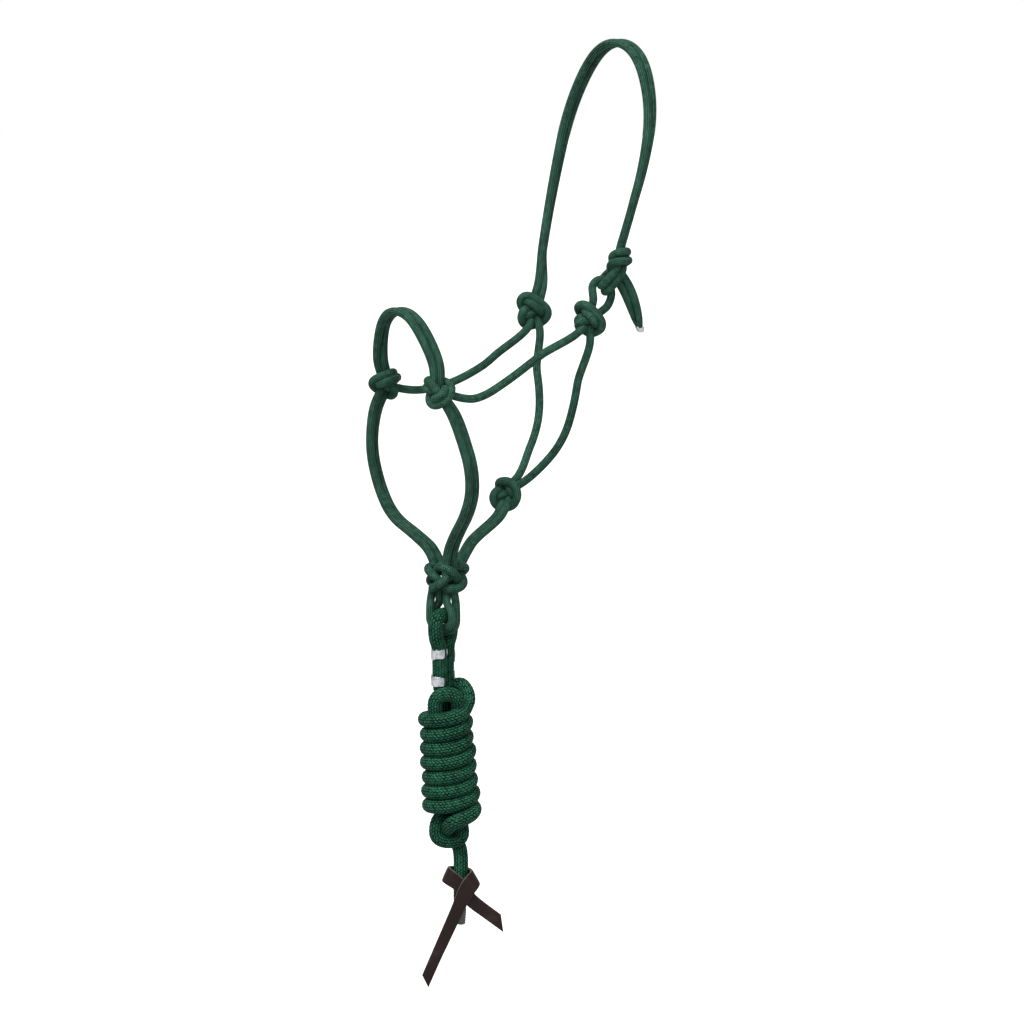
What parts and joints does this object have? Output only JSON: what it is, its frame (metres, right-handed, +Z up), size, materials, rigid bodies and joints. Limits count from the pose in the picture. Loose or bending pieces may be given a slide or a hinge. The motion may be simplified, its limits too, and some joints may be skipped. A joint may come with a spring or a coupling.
{
  "type": "rope halter with lead rope",
  "caption": "Horse rope halter in braided cord with hand-tied knots, held open as worn, with a wound lead rope crimped through its chin loops and a leather popper.",
  "frame": {"origin": "underside of the crown at the middle of the head, where it lies on the poll", "axes": "+Z up, -Y towards the horse's nose, +X towards the horse's left, where the crown is tied"},
  "size_m": [0.1718, 0.2523, 0.897],
  "materials": {
    "halter_rope": "braided polyester",
    "lead_rope": "braided polyester",
    "crimp": "bright rolled strip",
    "ferrule": "bright thin cap",
    "leather": "smooth dark brown",
    "whipping": "shrunk grey-green sleeve"
  },
  "bodies": {
    "halter": {"crown_front_strand": "halter_rope", "crown_rear_strand": "halter_rope", "left_cheek_knot": "halter_rope", "right_cheek_knot": "halter_rope", "tie_knot": "halter_rope", "tie_loop_front_leg": "halter_rope", "tie_loop_rear_leg": "halter_rope", "left_cheek_strand": "halter_rope", "right_cheek_strand": "halter_rope", "left_nose_knot": "halter_rope", "right_nose_knot": "halter_rope", "rope_end_stub": "halter_rope", "left_throat_strand": "halter_rope", "right_throat_strand": "halter_rope", "throat_knot": "halter_rope", "left_throat_drop": "halter_rope", "right_throat_drop": "halter_rope", "left_chin_front_strand": "halter_rope", "left_chin_rear_strand": "halter_rope", "right_chin_front_strand": "halter_rope", "right_chin_rear_strand": "halter_rope", "fiador_knot": "halter_rope"},
    "noseband": {"noseband_front_strand": "halter_rope", "noseband_rear_strand": "halter_rope"},
    "crown_tails": {"crown_tail_front": "halter_rope", "crown_tail_rear": "halter_rope", "tail_ferrule": "ferrule"},
    "lead_loops": {"front_lead_loop": "halter_rope", "rear_lead_loop": "halter_rope"},
    "lead": {"lead_eye": "lead_rope", "lead_hank": "lead_rope", "lead_tail": "lead_rope", "upper_crimp": "crimp", "lower_crimp": "crimp", "lead_end_whipping": "whipping"},
    "popper": {"popper_strap": "leather"}
  },
  "joints": [
    {"name": "noseband_fold", "type": "hinge", "parent": "halter", "child": "noseband", "pos_m": [0, -0.223, -0.316], "axis": [1, 0, 0], "range_deg": [-40, 50]},
    {"name": "tails_swing", "type": "hinge", "parent": "halter", "child": "crown_tails", "pos_m": [0.066, -0.027, -0.214], "axis": [0.5, 0.866, 0], "range_deg": [-30, 30]},
    {"name": "loops_swing", "type": "hinge", "parent": "halter", "child": "lead_loops", "pos_m": [0, -0.19, -0.5138], "axis": [0.8387, 0.5446, 0], "range_deg": [-35, 35]},
    {"name": "lead_swing", "type": "hinge", "parent": "lead_loops", "child": "lead", "pos_m": [0, -0.19, -0.5315], "axis": [0.5446, -0.8387, 0], "range_deg": [-35, 35]},
    {"name": "popper_turn", "type": "hinge", "parent": "lead", "child": "popper", "pos_m": [0.00642, -0.17488, -0.785], "axis": [0, 0, 1], "range_deg": [-60, 60]}
  ]
}
